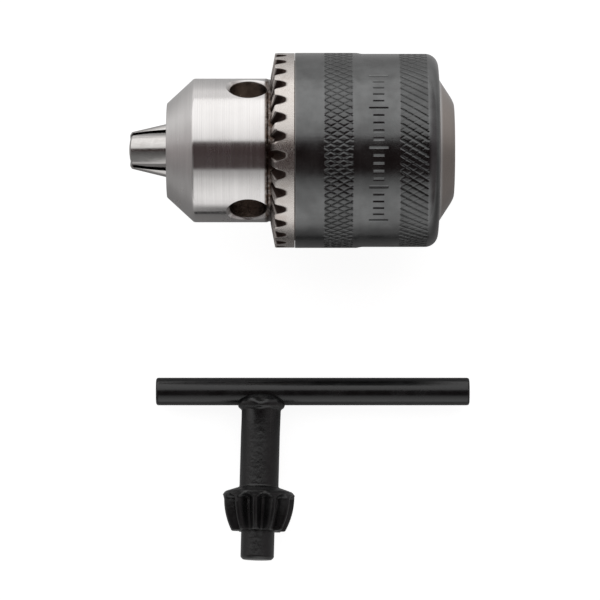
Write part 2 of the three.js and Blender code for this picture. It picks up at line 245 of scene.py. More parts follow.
def skin(name, points, wrap_rows=False, sharp_angle=SHARP_ANGLE):
    """A closed tube of quads through a grid of world points, whose columns wrap round."""
    rows, columns = points.shape[:2]
    quad_rows = rows if wrap_rows else rows - 1
    row, column = np.meshgrid(np.arange(quad_rows), np.arange(columns), indexing="ij")
    here, below = row * columns, (row + 1) % rows * columns
    beside = (column + 1) % columns
    corners = [here + column, below + column, below + beside, here + beside]
    piece = new_piece(name, points.reshape(-1, 3), np.stack(corners, axis=-1).reshape(-1, 4))
    if not wrap_rows:
        weld(piece.data)
    finish_mesh(piece.data, sharp_angle)
    return piece


def weld(mesh):
    """Merges the points that lie in one place."""
    work = bmesh.new()
    work.from_mesh(mesh)
    bmesh.ops.remove_doubles(work, verts=work.verts, dist=1e-8)
    work.to_mesh(mesh)
    work.free()


def rounded(corners, steps=4):
    """Outline points through corners (radius, s, fillet), with a support point beside each fillet's ends."""
    outline = []
    for i, (radius, s, fillet) in enumerate(corners):
        here = np.array((radius, s), float)
        if fillet == 0 or i in (0, len(corners) - 1):
            outline.append(here)
            continue
        before = np.array(corners[i - 1][:2], float) - here
        after = np.array(corners[i + 1][:2], float) - here
        room = 0.4 * min(np.linalg.norm(before), np.linalg.norm(after))
        before /= np.linalg.norm(before)
        after /= np.linalg.norm(after)
        reach = min(fillet, room)
        outline.append(here + before * min(reach + 0.08, room * 1.1))
        for t in np.linspace(0, 1, steps + 1):
            outline.append(here + before * reach * (1 - t) ** 2 + after * reach * t**2)
        outline.append(here + after * min(reach + 0.08, room * 1.1))
    return np.array(outline)


def round_angles(columns):
    """A row of equally spaced angles, once round."""
    return (np.arange(columns) * TURN / columns)[None, :]


def turned(name, corners, columns):
    """A turned piece: its rounded outline spun about the chuck's axis."""
    outline = rounded(corners)
    return skin(name, place(outline[:, 1:2], outline[:, 0:1], round_angles(columns)))


def rod(name, radius, start, end, sides, end_radius=None):
    """A capped cylinder or cone between two world points in millimetres."""
    start, end = Vector(start) * MM, Vector(end) * MM
    work = bmesh.new()
    far_radius = radius if end_radius is None else end_radius
    sizes = {"radius1": radius * MM, "radius2": far_radius * MM, "depth": (end - start).length}
    bmesh.ops.create_cone(work, cap_ends=True, segments=sides, **sizes)
    turn = Vector((0, 0, 1)).rotation_difference(end - start).to_matrix().to_4x4()
    work.transform(Matrix.Translation((start + end) / 2) @ turn)
    mesh = bpy.data.meshes.new(name)
    work.to_mesh(mesh)
    work.free()
    return link(name, mesh)


def apply_modifiers(piece):
    """Replaces a piece's mesh with what its modifiers make of it."""
    evaluated = piece.evaluated_get(bpy.context.evaluated_depsgraph_get())
    piece.data = bpy.data.meshes.new_from_object(evaluated)
    piece.modifiers.clear()


def carve(piece, cutters, operation="DIFFERENCE"):
    """Cuts a piece with each cutter, or intersects it, and uses the cutter up."""
    for cutter in cutters:
        step = piece.modifiers.new("carve", "BOOLEAN")
        step.operation = operation
        step.solver = "EXACT"
        step.object = cutter
        apply_modifiers(piece)
        bpy.data.objects.remove(cutter)
    piece.data.name = piece.name
    finish_mesh(piece.data, SHARP_ANGLE)
    return piece


def soften(piece, width):
    """Breaks a piece's sharp edges with a small bevel."""
    bevel = piece.modifiers.new("soften", "BEVEL")
    bevel.width = width * MM
    bevel.segments = 2
    bevel.limit_method = "ANGLE"
    bevel.angle_limit = 30 * DEG
    bevel.use_clamp_overlap = True
    apply_modifiers(piece)
    finish_mesh(piece.data, 40)


def chuck_point(s, radius, degrees):
    """One chuck coordinate as world millimetres."""
    return tuple(place(s, radius, degrees * DEG) / MM)


def smooth_step(value, low, high):
    """0 below low, 1 above high, and a smooth curve between them."""
    t = np.clip((value - low) / (high - low), 0, 1)
    return t * t * (3 - 2 * t)


# ---- Chuck body. ----


def body_corners():
    """The body's outline as (radius, s, fillet), from the tool bore's floor to the taper socket's floor."""
    taper_floor = TAPER_MOUTH_RADIUS - TAPER_DEPTH / 40
    return [
        (0, TOOL_BORE_END_S, 0),
        (TOOL_BORE_RADIUS, TOOL_BORE_END_S, 0.2),
        (TOOL_BORE_RADIUS, 0.6, 0.1),
        (TOOL_BORE_RADIUS + 0.6, 0, 0.1),
        (NOSE_FACE_RADIUS, 0, 0.12),
        (NOSE_RADIUS, NOSE_CONE_S, 0.3),
        (NOSE_RADIUS, NOSE_END_S, 0.3),
        (NOSE_RADIUS - 0.15, NOSE_END_S + 0.3, 0.1),
        (NOSE_RADIUS - 0.15, NUT_GROOVE_S[0], 0.1),
        (NUT_GROOVE_RADIUS, NUT_GROOVE_S[0], 0.15),
        (NUT_GROOVE_RADIUS, NUT_GROOVE_S[1], 0.15),
        (NOSE_RADIUS, NUT_GROOVE_S[1], 0.1),
        (NOSE_RADIUS, FLANGE_S[0], 0.1),
        (FLANGE_RADIUS, FLANGE_S[0], 0.2),
        (FLANGE_RADIUS, FLANGE_S[1], 0.2),
        (TAIL_RADIUS, FLANGE_S[1] + 3, 0.3),
        (TAIL_RADIUS, TAIL_LAND_S, 0.12),
        (TAIL_FACE_RADIUS + 1.0, REAR_S - 0.45, 0.9),
        (TAIL_FACE_RADIUS, REAR_S, 0.3),
        (TAPER_MOUTH_RADIUS + 0.3, REAR_S, 0.05),
        (TAPER_MOUTH_RADIUS, REAR_S - 0.3, 0.05),
        (taper_floor, REAR_S - TAPER_DEPTH, 0.15),
        (0, REAR_S - TAPER_DEPTH, 0),
    ]


def jaw_line(s, degrees):
    """A point on a jaw's own axis, in world millimetres."""
    return chuck_point(s, JAW_NOSE_OFFSET + s * math.tan(JAW_SLANT), degrees)


def key_hole_cutter(degrees):
    """A flat-bottomed hole with a short countersink, square to the chuck axis."""
    outline = rounded([
        (0, KEY_HOLE_FLOOR, 0),
        (KEY_HOLE_RADIUS, KEY_HOLE_FLOOR, 0.2),
        (KEY_HOLE_RADIUS, NOSE_RADIUS - KEY_HOLE_SINK, 0.1),
        (KEY_HOLE_RADIUS + KEY_HOLE_SINK + 1, NOSE_RADIUS + 1, 0),
        (0, NOSE_RADIUS + 1, 0),
    ])
    angle = round_angles(96)[..., None]
    out = np.array((0, math.sin(degrees * DEG), math.cos(degrees * DEG)))
    along = np.array((1.0, 0, 0))
    across = np.cross(along, out)
    middle = np.array((NOSE_X + KEY_HOLE_S, CHUCK_Y, CHUCK_Z))
    ring = np.cos(angle) * along + np.sin(angle) * across
    points = middle + outline[:, 1][:, None, None] * out + outline[:, 0][:, None, None] * ring
    return skin("key_hole_cutter", points * MM)


def chuck_body():
    """The turned body, with its three slanted jaw holes and its three key holes."""
    body = turned("body_fine", body_corners(), 288)
    end = JAW_REAR_S + JAW_BACKWARD + 1
    width = JAW_RADIUS + JAW_PLAY
    carve(body, [rod("jaw_hole", width, jaw_line(-3, a), jaw_line(end, a), 96) for a in JAW_ANGLES])
    carve(body, [key_hole_cutter(a) for a in KEY_HOLE_ANGLES])
    return body


# ---- Jaws. ----


def prism(name, outline, start_s, end_s, degrees):
    """A straight bar of material along the chuck axis; its outline is (sideways, outwards) from that axis."""
    side = np.array([p[0] for p in outline])
    out = np.array([p[1] for p in outline])
    radius, angle = np.hypot(side, out), np.arctan2(side, out) + degrees * DEG
    rows = [place(s, radius, angle) for s in (start_s, end_s)]
    count = len(outline)
    sides = [(i, i + count, (i + 1) % count + count, (i + 1) % count) for i in range(count)]
    ends = [tuple(range(count)), tuple(range(2 * count - 1, count - 1, -1))]
    return new_piece(name, np.concatenate(rows), sides + ends)


def jaw_wedge(degrees):
    """The third of the space round the axis that a jaw may fill, less its half of the slots beside it."""
    def edge(height):
        return (height * math.sin(60 * DEG) - JAW_FACE_OFFSET) / math.cos(60 * DEG)

    inner, outer = edge(JAW_GRIP), edge(JAW_TOP)
    outline = [(-inner, JAW_GRIP), (inner, JAW_GRIP), (outer, JAW_TOP), (-outer, JAW_TOP)]
    return prism("wedge", outline, -15, 35, degrees)


def jaw_envelope():
    """What is left when the three tips are turned to one blunt cone."""
    tip = [(0, JAW_TIP_S, 0), (JAW_TIP_RADIUS, JAW_TIP_S, 0.35), (JAW_CONE_RADIUS, JAW_CONE_S, 0.3)]
    past_the_jaws = [(30, 40, 0), (0, 40, 0)]
    return turned("envelope", tip + past_the_jaws, 144)


def thread_groove(degrees, back):
    """One turn of the nut's thread where it crosses a jaw, moved along the jaw's line."""
    angles = np.linspace(-THREAD_REACH, THREAD_REACH, 9)
    rows = []
    for angle in angles:
        middle = NUT_MIDDLE_S - THREAD_PITCH * angle / TURN
        section = ((-1, 1), (-1, 0), (1, 0), (1, 1))
        rows.append([groove_corner(middle, side, deep) for side, deep in section])
    rows = np.array(rows)
    s, radius = rows[..., 0], rows[..., 1]
    side = radius * np.sin(angles)[:, None]
    out = radius * np.cos(angles)[:, None] + back * math.tan(JAW_SLANT)
    points = place(s + back, np.hypot(side, out), np.arctan2(side, out) + degrees * DEG)
    return closed_loft("groove", points)


def groove_corner(middle, side, deep):
    """A corner of the groove's section: a trapezoid that widens outwards, as (s, radius)."""
    depth = THREAD_DEPTH + THREAD_PLAY if deep else -THREAD_ABOVE
    half = THREAD_HALF_ROOT if deep else THREAD_HALF_MOUTH
    s = middle + side * half
    outer = JAW_NOSE_OFFSET + s * math.tan(JAW_SLANT) + JAW_RADIUS / math.cos(JAW_SLANT)
    return s, outer - depth


def closed_loft(name, points):
    """A solid through a row of equal loops, with flat ends."""
    rows, size = points.shape[:2]
    faces = []
    for here in range(0, (rows - 1) * size, size):
        there = here + size
        faces += [(here + i, here + (i + 1) % size, there + (i + 1) % size, there + i) for i in range(size)]
    last = (rows - 1) * size
    faces += [tuple(range(size - 1, -1, -1)), tuple(range(last, last + size))]
    return new_piece(name, points.reshape(-1, 3), faces)


def jaw(number, degrees):
    """A jaw on its own slanted line: a round bar cut to its third, its tip and the nut's thread."""
    tip, rear = jaw_line(JAW_END_S, degrees), jaw_line(JAW_REAR_S, degrees)
    piece = rod(f"jaw_{number}_fine", JAW_RADIUS, tip, rear, 96)
    # The cone starts ahead of the jaw and has more sides, so that no face of it lies in a face of the jaw.
    ahead, behind = jaw_line(JAW_END_S - 0.3, degrees), jaw_line(JAW_END_S + 40, degrees)
    chamfer = rod("chamfer", JAW_RADIUS - JAW_CHAMFER, ahead, behind, 110, JAW_RADIUS + 40)
    carve(piece, [chamfer, jaw_wedge(degrees), jaw_envelope()], "INTERSECT")
    phase = -THREAD_PITCH * degrees / 360
    first = math.ceil((THREAD_START_S - NUT_MIDDLE_S - phase) / THREAD_PITCH)
    last = math.ceil((JAW_REAR_S - NUT_MIDDLE_S - phase) / THREAD_PITCH)
    grooves = [thread_groove(degrees, phase + n * THREAD_PITCH) for n in range(first, last + 1)]
    carve(piece, [join(grooves)])
    soften(piece, JAW_EDGE)
    mark_flats(piece, degrees)
    return piece


def mark_flats(piece, degrees):
    """Marks the faces that lie between the jaws, which the material paints near black as painted shade."""
    start, end = (Vector(jaw_line(s, degrees)) * MM for s in (0, JAW_REAR_S))
    line = (end - start).normalized()
    values = []
    for polygon in piece.data.polygons:
        offset = polygon.center - start
        away = (offset - line * offset.dot(line)).length / MM
        values.append(float(away < JAW_RADIUS - 0.2 and abs(polygon.normal.dot(line)) < 0.5))
    attribute = piece.data.attributes.new("flat", "FLOAT", "FACE")
    attribute.data.foreach_set("value", values)


def join(parts):
    """Joins meshes that don't touch into one cutter."""
    vertices, faces = [], []
    for part in parts:
        base = len(vertices)
        vertices += [v.co.copy() for v in part.data.vertices]
        faces += [tuple(base + i for i in p.vertices) for p in part.data.polygons]
        bpy.data.objects.remove(part)
    return new_piece("cutters", vertices, faces)


# ---- Gear sleeve. ----


def soft_clamp(value, low, high, blend):
    """Clamps, rounding both corners over a distance."""
    def soft_min(a, b):
        h = np.clip(0.5 + 0.5 * (b - a) / blend, 0, 1)
        return b + (a - b) * h - blend * h * (1 - h)

    return -soft_min(-soft_min(value, high), -low)


def tooth_face(radius, angle):
    """(s of the toothed front face, how deep it lies in a gap from 0 to 1) at a radius and angle."""
    pitch = TURN / GEAR_TEETH
    offset = (angle - GEAR_FIRST_GAP + pitch / 2) % pitch - pitch / 2
    scale = radius / GEAR_RADIUS
    root = KEY_HOLE_S + (GEAR_ROOT_S - KEY_HOLE_S) * scale
    slope = (GEAR_TIP_S - GEAR_TIP_INNER_S) / (GEAR_RADIUS - GEAR_BORE)
    tip = GEAR_TIP_S - (GEAR_RADIUS - radius) * slope
    height = (np.abs(offset) * radius - GEAR_GAP_ROOT * scale) / GEAR_GAP_FLANK
    s = root - soft_clamp(height, 0, root - tip, GEAR_GAP_BLEND)
    return s, np.clip((s - tip) / (root - tip), 0, 1)


def gear_sleeve():
    """The toothed ring and its skirt, with an attribute that says how deep each point lies in a tooth gap,
    for the dirt and painted shade there.
    """
    angle = round_angles(GEAR_TEETH * GEAR_COLUMNS)
    front = np.concatenate(([GEAR_BORE, GEAR_BORE + 0.1], np.linspace(13.9, 17.6, 9), [17.85, 17.95]))
    face, depth = tooth_face(front[:, None], angle)
    rows = [place(face, front[:, None], angle)]
    edge, edge_depth = tooth_face(np.array([[GEAR_RADIUS]]), angle)
    wall = np.array([0.06, 0.16, 0.35, 0.6, 0.9])[:, None]
    back = edge + wall * np.maximum(GEAR_BACK_S - 0.35 - edge, 0.3)
    rows.append(place(back, np.full_like(wall, GEAR_RADIUS), angle))
    rest = rounded([
        (GEAR_RADIUS, GEAR_BACK_S - 0.3, 0),
        (GEAR_RADIUS, GEAR_BACK_S, 0.08),
        (SKIRT_OUTER, GEAR_BACK_S, 0.1),
        (SKIRT_OUTER, SKIRT_END_S, 0.15),
        (SKIRT_INNER, SKIRT_END_S, 0.15),
        (SKIRT_INNER, SHOULDER_S, 0.1),
        (GEAR_BORE, SHOULDER_S, 0.1),
        (GEAR_BORE, GEAR_BACK_S - 2.6, 0),
    ])
    rows.append(place(rest[:, 1:2], rest[:, 0:1], angle))
    points = np.concatenate(rows)
    piece = skin("gear_sleeve_fine", points, wrap_rows=True, sharp_angle=38)
    # How deep each point lies in a gap, fading up the end wall: where the material paints dirt and shade.
    grime_and_shade = np.zeros(points.shape[:2])
    grime_and_shade[: len(front)] = depth
    grime_and_shade[len(front) : len(front) + len(wall)] = edge_depth * (1 - wall) ** 4
    add_attribute(piece, "grime_and_shade", grime_and_shade.ravel())
    return piece


def add_attribute(piece, name, values):
    """Stores a number on each point of a piece, for its material."""
    attribute = piece.data.attributes.new(name, "FLOAT", "POINT")
    attribute.data.foreach_set("value", np.asarray(values, np.float32))


# ---- Grip shell. ----


def knurl(s, angle):
    """Depth of the knurled grooves below the shell's surface."""
    depth = np.zeros(np.broadcast(s, angle).shape)
    pitch_angle = TURN / KNURL_STARTS
    for band, (start, end) in enumerate(KNURL_BANDS):
        inside = smooth_step(s, start - 0.02, start + 0.1)
        inside = inside * (1 - smooth_step(s, end - 0.1, end + 0.02))
        lean = KNURL_LEAD * (s - start) / (end - start)
        for direction, strength in ((1, 1.0), (-1, KNURL_WEAKER[band])):
            phase = angle / pitch_angle + direction * lean
            distance = np.abs(phase - np.round(phase)) * pitch_angle * SHELL_RADIUS * KNURL_SQUARE
            half_width = KNURL_HALF_WIDTH * (0.6 + 0.4 * strength)
            groove = np.clip(1 - distance / half_width, 0, 1)
            depth = np.maximum(depth, inside * strength * KNURL_DEPTH * groove)
    return depth


def index_ticks(s, angle):
    """Depth of a plain engraved index scale on the smooth band between the knurls."""
    spacing = TURN / KNURL_STARTS
    number = np.round(angle / spacing)
    reach = np.where(number % 5 == 0, TICK_LONG_HALF, TICK_HALF)
    across = np.abs(angle - number * spacing) * SHELL_REAR_RADIUS
    groove = np.clip(1 - across / TICK_HALF_WIDTH, 0, 1) * (np.abs(number) <= TICKS_EACH_SIDE)
    return TICK_DEPTH * groove * (np.abs(s - TICK_MIDDLE_S) < reach)


def shell_radius(s):
    """The shell's radius before knurling: it steps down behind the front band and rounds off at the rear."""
    stepped = float(smooth_step(s, SHELL_STEP_S, SHELL_STEP_S + 1.0))
    radius = SHELL_RADIUS - (SHELL_RADIUS - SHELL_REAR_RADIUS) * stepped
    past = max(s - (SHELL_REAR_S - SHELL_CORNER), 0)
    return radius - SHELL_CORNER + math.sqrt(max(SHELL_CORNER**2 - past**2, 0))


def shell_rows():
    """The shell's outline as (radius, s) rows, fine enough for grooves across the knurled bands."""
    front = rounded([
        (SHELL_INNER, SHELL_FRONT_S, 0),
        (SHELL_RADIUS, SHELL_FRONT_S, 0.16),
        (SHELL_RADIUS, 28, 0),
    ])
    along = [SHELL_STEP_S + further for further in (0, 0.5, 1.0, 1.6)] + [TICK_MIDDLE_S]
    for half in (TICK_HALF, TICK_LONG_HALF):
        along += [TICK_MIDDLE_S + side * (half + edge) for side in (-1, 1) for edge in (-0.02, 0.02)]
    for start, end in KNURL_BANDS:
        along += [start - 0.12, *np.linspace(start, end, KNURL_ROWS), end + 0.12]
    centre = SHELL_REAR_S - SHELL_CORNER
    turn = np.linspace(0, 90, 15) * DEG
    along += [s for s in centre + SHELL_CORNER * np.sin(turn) if s > KNURL_BANDS[1][1] + 0.2]
    rows = [tuple(p) for p in front[:-1]] + [(shell_radius(s), s) for s in sorted(along)]
    lip = rounded([
        (15.0, SHELL_REAR_S + 0.05, 0),
        (GEAR_BORE - 0.15, SHELL_REAR_S + 0.15, 0.12),
        (GEAR_BORE - 0.15, LIP_FRONT_S, 0.15),
        (SHELL_INNER, LIP_FRONT_S, 0.3),
        (SHELL_INNER, SHELL_FRONT_S + 1, 0),
    ])
    return np.array(rows + [tuple(p) for p in lip])


def grip_shell():
    """The knurled shell, with an attribute that says how deep each point is in a groove."""
    angle = round_angles(KNURL_STARTS * KNURL_COLUMNS)
    angle = np.where(angle > math.pi, angle - TURN, angle)
    outline = shell_rows()
    radius, s = outline[:, 0:1], outline[:, 1:2]
    outer = (radius > SHELL_REAR_RADIUS - 0.3) & (s > SHELL_FRONT_S + 1) & (s < SHELL_REAR_S - 1)
    grooves = np.where(outer, np.maximum(knurl(s, angle), index_ticks(s, angle)), 0)
    piece = skin("grip_shell_fine", place(s, radius - grooves, angle), wrap_rows=True, sharp_angle=30)
    add_attribute(piece, "groove", (grooves / KNURL_DEPTH).ravel())
    return piece


# ---- Key. ----


def pinion_radius(along, angle):
    """The pinion's outline radius, with its gaps."""
    pitch = TURN / PINION_TEETH
    offset = (angle - PINION_FIRST_TOOTH + TURN) % pitch - pitch / 2
    back = np.clip((along - PINION_WIDEST_AT) / (PINION_END_AT - PINION_WIDEST_AT), 0, 1)
    cone = PINION_RADIUS - (PINION_RADIUS - PINION_END_RADIUS) * back**PINION_CROWN
    scale = cone / PINION_RADIUS
    run_out = smooth_step(along, PINION_WIDEST_AT - 0.35, PINION_WIDEST_AT + 0.5)
    depth = PINION_DEPTH * scale * run_out
    height = (np.abs(offset) * cone - PINION_GAP_ROOT * scale) / PINION_GAP_FLANK
    return cone - depth + soft_clamp(height, 0, depth + 1e-4, PINION_GAP_BLEND)


def lumpy(points, size, height, seed):
    """Smooth random offsets for world points, from -height to height."""
    scaled = points.reshape(-1, 3) / (size * MM)
    values = [noise.noise(Vector(p) + Vector((seed, seed * 0.7, 0))) for p in scaled]
    return np.array(values).reshape(points.shape[:2]) * height


def stem_and_collar(angle):
    """The stem, with the lumpy weld collar at its head."""
    outline = rounded([
        (0, 0.4, 0),
        (3.2, 0.9, 0.3),
        (COLLAR_RADIUS - 0.3, 1.6, 0.5),
        (COLLAR_RADIUS, 2.3, 0.4),
        (COLLAR_RADIUS - 0.12, 2.95, 0.35),
        (STEM_RADIUS + 0.12, 3.45, 0.35),
        (STEM_RADIUS, 8, 0),
        (STEM_RADIUS, SHOULDER_AT - 0.3, 0.35),
        (PINION_RADIUS - 1.5, SHOULDER_AT + 0.2, 0.4),
        (PINION_RADIUS - 0.35, SHOULDER_AT + 0.6, 0.5),
        (PINION_RADIUS, PINION_WIDEST_AT - 0.4, 0),
    ], steps=6)
    radius, along = outline[:, 0:1], outline[:, 1:2]
    collar = smooth_step(along, 0.8, 1.6) * (1 - smooth_step(along, 3.6, 6.5))
    lumps = lumpy(place_key(along, radius, angle), WELD_LUMP, WELD_HEIGHT, 4)
    return [place_key(along, radius + collar * lumps, angle)]


def pinion(angle):
    """The pinion's teeth, and its end face in to the pilot."""
    along = np.linspace(PINION_WIDEST_AT - 0.35, PINION_END_AT - 0.15, 36)[:, None]
    rows = [place_key(along, pinion_radius(along, angle), angle)]
    end_radius = pinion_radius(np.array([[PINION_END_AT]]), angle)
    for inset, ahead in ((0.1, 0), (0.35, 0.02), (0.8, 0.03)):
        face = np.maximum(end_radius - inset, PILOT_RADIUS + 0.12)
        rows.append(place_key(np.array([[PINION_END_AT + ahead]]), face, angle))
    return rows


def pilot(angle):
    """The round pin at the key's end that fits a key hole."""
    outline = rounded([
        (PILOT_RADIUS, PINION_END_AT + 0.08, 0),
        (PILOT_RADIUS, PINION_END_AT + 0.3, 0),
        (PILOT_RADIUS, PILOT_END_AT - 0.45, 0.2),
        (PILOT_RADIUS - 0.45, PILOT_END_AT, 0.15),
        (0, PILOT_END_AT + 0.02, 0),
    ])
    return [place_key(outline[:, 1:2], outline[:, 0:1], angle)]


def key_shank():
    """The key's shank in one piece: collar, stem, pinion and pilot."""
    angle = round_angles(PINION_TEETH * PINION_COLUMNS)
    points = np.concatenate(stem_and_collar(angle) + pinion(angle) + pilot(angle))
    points[..., 2] = np.maximum(points[..., 2], 0.02 * MM)  # no weld bead reaches below the table
    return skin("key_shank_fine", points, sharp_angle=42)


def key_bar():
    """The key's cross handle, along X."""
    end = BAR_LENGTH / 2
    outline = rounded([
        (0, -end, 0),
        (BAR_RADIUS, -end, 0.55),
        (BAR_RADIUS, -end / 2, 0),
        (BAR_RADIUS, end / 2, 0),
        (BAR_RADIUS, end, 0.55),
        (0, end, 0),
    ], steps=6)
    angle = round_angles(128)
    x = (BAR_X + outline[:, 1:2]) * MM
    y = (BAR_Y + outline[:, 0:1] * np.sin(angle)) * MM
    z = (BAR_Z + outline[:, 0:1] * np.cos(angle)) * MM
    return skin("key_bar_fine", np.stack(np.broadcast_arrays(x, y, z), axis=-1))


# ---- Materials. ----


class Graph:
    """A small helper that adds shader nodes to one node tree and links them."""

    def __init__(self, tree):
        self.tree = tree
        tree.nodes.clear()

    def add(self, kind, inputs=None, **settings):
        """Adds a node. An input given as a socket is linked, and anything else is set as its value."""
        node = self.tree.nodes.new("ShaderNode" + kind)
        for name, value in settings.items():
            setattr(node, name, value)
        for name, value in (inputs or {}).items():
            if isinstance(value, bpy.types.NodeSocket):
                self.tree.links.new(value, node.inputs[name])
            else:
                node.inputs[name].default_value = value
        return node

    def math(self, operation, a, b=0.0):
        return self.add("Math", {0: a, 1: b}, operation=operation).outputs[0]

    def ramp(self, value, stops, smooth=True):
        """A colour ramp through (position, colour) stops; a plain number stands for a grey."""
        node = self.add("ValToRGB", {"Fac": value})
        node.color_ramp.interpolation = "EASE" if smooth else "LINEAR"
        elements = node.color_ramp.elements
        while len(elements) < len(stops):
            elements.new(0.5)
        for element, (position, colour) in zip(elements, stops):
            element.position = position
            element.color = (*colour, 1) if isinstance(colour, tuple) else grey(colour)
        return node.outputs["Color"]

    def noise(self, vector, scale, detail=2.0, rough=0.5):
        inputs = {"Vector": vector, "Scale": scale, "Detail": detail, "Roughness": rough}
        return self.add("TexNoise", inputs).outputs["Fac"]

    def mix(self, factor, a, b, blend_type="MIX"):
        """Mixes two colours."""
        return self.add("MixRGB", {"Fac": factor, "Color1": a, "Color2": b}, blend_type=blend_type).outputs[0]

    def product(self, *factors):
        result = factors[0]
        for factor in factors[1:]:
            result = self.math("MULTIPLY", result, factor)
        return result

    def remap(self, value, low, high, to_low, to_high):
        """Maps a value from one range to another with a smooth step, clamped."""
        inputs = {"Value": value, "From Min": low, "From Max": high, "To Min": to_low, "To Max": to_high}
        return self.add("MapRange", inputs, interpolation_type="SMOOTHSTEP").outputs[0]

    def bumps(self, layers):
        """Stacks bumps from (height, strength, distance in mm) layers and returns the last normal."""
        normal = None
        for height, strength, distance in layers:
            inputs = {"Height": height, "Strength": strength, "Distance": distance * MM}
            if normal:
                inputs["Normal"] = normal
            normal = self.add("Bump", inputs).outputs[0]
        return normal


def grey(value, tint=(1, 1, 1)):
    """A brightness as a colour with alpha, times a tint."""
    return (value * tint[0], value * tint[1], value * tint[2], 1)


def millimetres(graph):
    """The piece's own coordinates in millimetres, and their x, y and z."""
    position = graph.add("TexCoord").outputs["Object"]
    scaled = graph.add("VectorMath", {0: position, "Scale": 1 / MM}, operation="SCALE").outputs[0]
    parts = graph.add("SeparateXYZ", {0: scaled}).outputs
    return scaled, parts[0], parts[1], parts[2]


def chuck_coordinates(graph):
    """In millimetres: s and radius on the chuck, a vector that makes turning rings, and the position."""
    scaled, x, y, z = millimetres(graph)
    s = graph.math("SUBTRACT", x, NOSE_X)
    across = graph.math("SUBTRACT", y, CHUCK_Y)
    up = graph.math("SUBTRACT", z, CHUCK_Z)
    radius = graph.math("SQRT", graph.math("ADD", graph.product(across, across), graph.product(up, up)))
    rings = graph.add("CombineXYZ", {0: s, 1: radius, 2: 0.0}).outputs[0]
    return s, radius, rings, scaled


def shader(name, build):
    """A material from a function that takes the graph and gives the shader's inputs."""
    material = bpy.data.materials.new(name)
    material.use_nodes = True
    graph = Graph(material.node_tree)
    surface = graph.add("BsdfPrincipled", build(graph))
    graph.add("OutputMaterial", {"Surface": surface.outputs[0]})
    return material


def turned_steel(graph):
    """Bright steel with turning marks, browned with oil behind the nose and in the key holes."""
    s, radius, rings, spot = chuck_coordinates(graph)
    fine = graph.noise(rings, 9.0, 3.0, 0.75)
    coarse = graph.noise(rings, 1.6, 2.0)
    cloud = graph.noise(spot, 0.16, 3.0)
    colour = graph.ramp(fine, [(0.3, (0.68, 0.66, 0.65)), (0.7, (0.775, 0.755, 0.745))])
    colour = graph.mix(graph.remap(cloud, 0.42, 0.72, 0.0, 0.2), colour, grey(0.60, (1, 0.96, 0.94)))
    mottle = graph.noise(spot, 1.3, 4.0, 0.7)
    at_ring = graph.product(graph.remap(s, 17.9, 18.4, 0.0, 1.0), graph.remap(s, 34.0, 36.0, 1.0, 0.0))
    oily = graph.product(at_ring, graph.remap(mottle, 0.38, 0.56, 0.8, 1.0))
    colour = graph.mix(oily, colour, (0.09, 0.062, 0.048, 1))
    inside = graph.remap(radius, NOSE_RADIUS - 1.0, NOSE_RADIUS - 0.1, 1.0, 0.0)
    in_holes = graph.product(inside, graph.remap(s, 10.0, 11.5, 0.0, 1.0), 0.8)
    colour = graph.mix(in_holes, colour, (0.34, 0.285, 0.25, 1))
    wear = graph.product(graph.math("ADD", coarse, cloud), 0.5)
    tangent = graph.add("Tangent", direction_type="RADIAL", axis="X").outputs[0]
    return {
        "Base Color": colour,
        "Metallic": 1.0,
        "Roughness": graph.remap(wear, 0.3, 0.7, 0.20, 0.28),
        "Anisotropic": 0.93,
        "Anisotropic Rotation": 0.25,
        "Tangent": tangent,
        "Normal": graph.bumps([(coarse, 0.07, 0.02), (fine, 0.15, 0.005)]),
    }


def jaw_steel(graph):
    """Ground steel, painted near black on the flats between the jaws as painted shade in the slots."""
    scaled, x, y, z = millimetres(graph)
    stretched = graph.add("CombineXYZ", {0: graph.product(x, 0.12), 1: y, 2: z}).outputs[0]
    grind = graph.noise(stretched, 3.0, 3.0, 0.6)
    cloud = graph.noise(scaled, 0.5, 3.0)
    colour = graph.ramp(grind, [(0.3, (0.55, 0.53, 0.515)), (0.7, (0.62, 0.60, 0.585))])
    colour = graph.mix(graph.remap(cloud, 0.45, 0.75, 0.0, 0.3), colour, (0.42, 0.39, 0.37, 1))
    flat = graph.add("Attribute", attribute_name="flat").outputs["Fac"]
    # Painted shade: the flats between the jaws are painted near black, as if in the slots' shadow.
    colour = graph.mix(graph.product(flat, 0.93), colour, (0.02, 0.016, 0.014, 1))
    return {
        "Base Color": colour,
        "Metallic": 1.0,
        "Roughness": graph.remap(grind, 0.3, 0.7, 0.16, 0.22),
        "Normal": graph.bumps([(grind, 0.05, 0.008)]),
    }


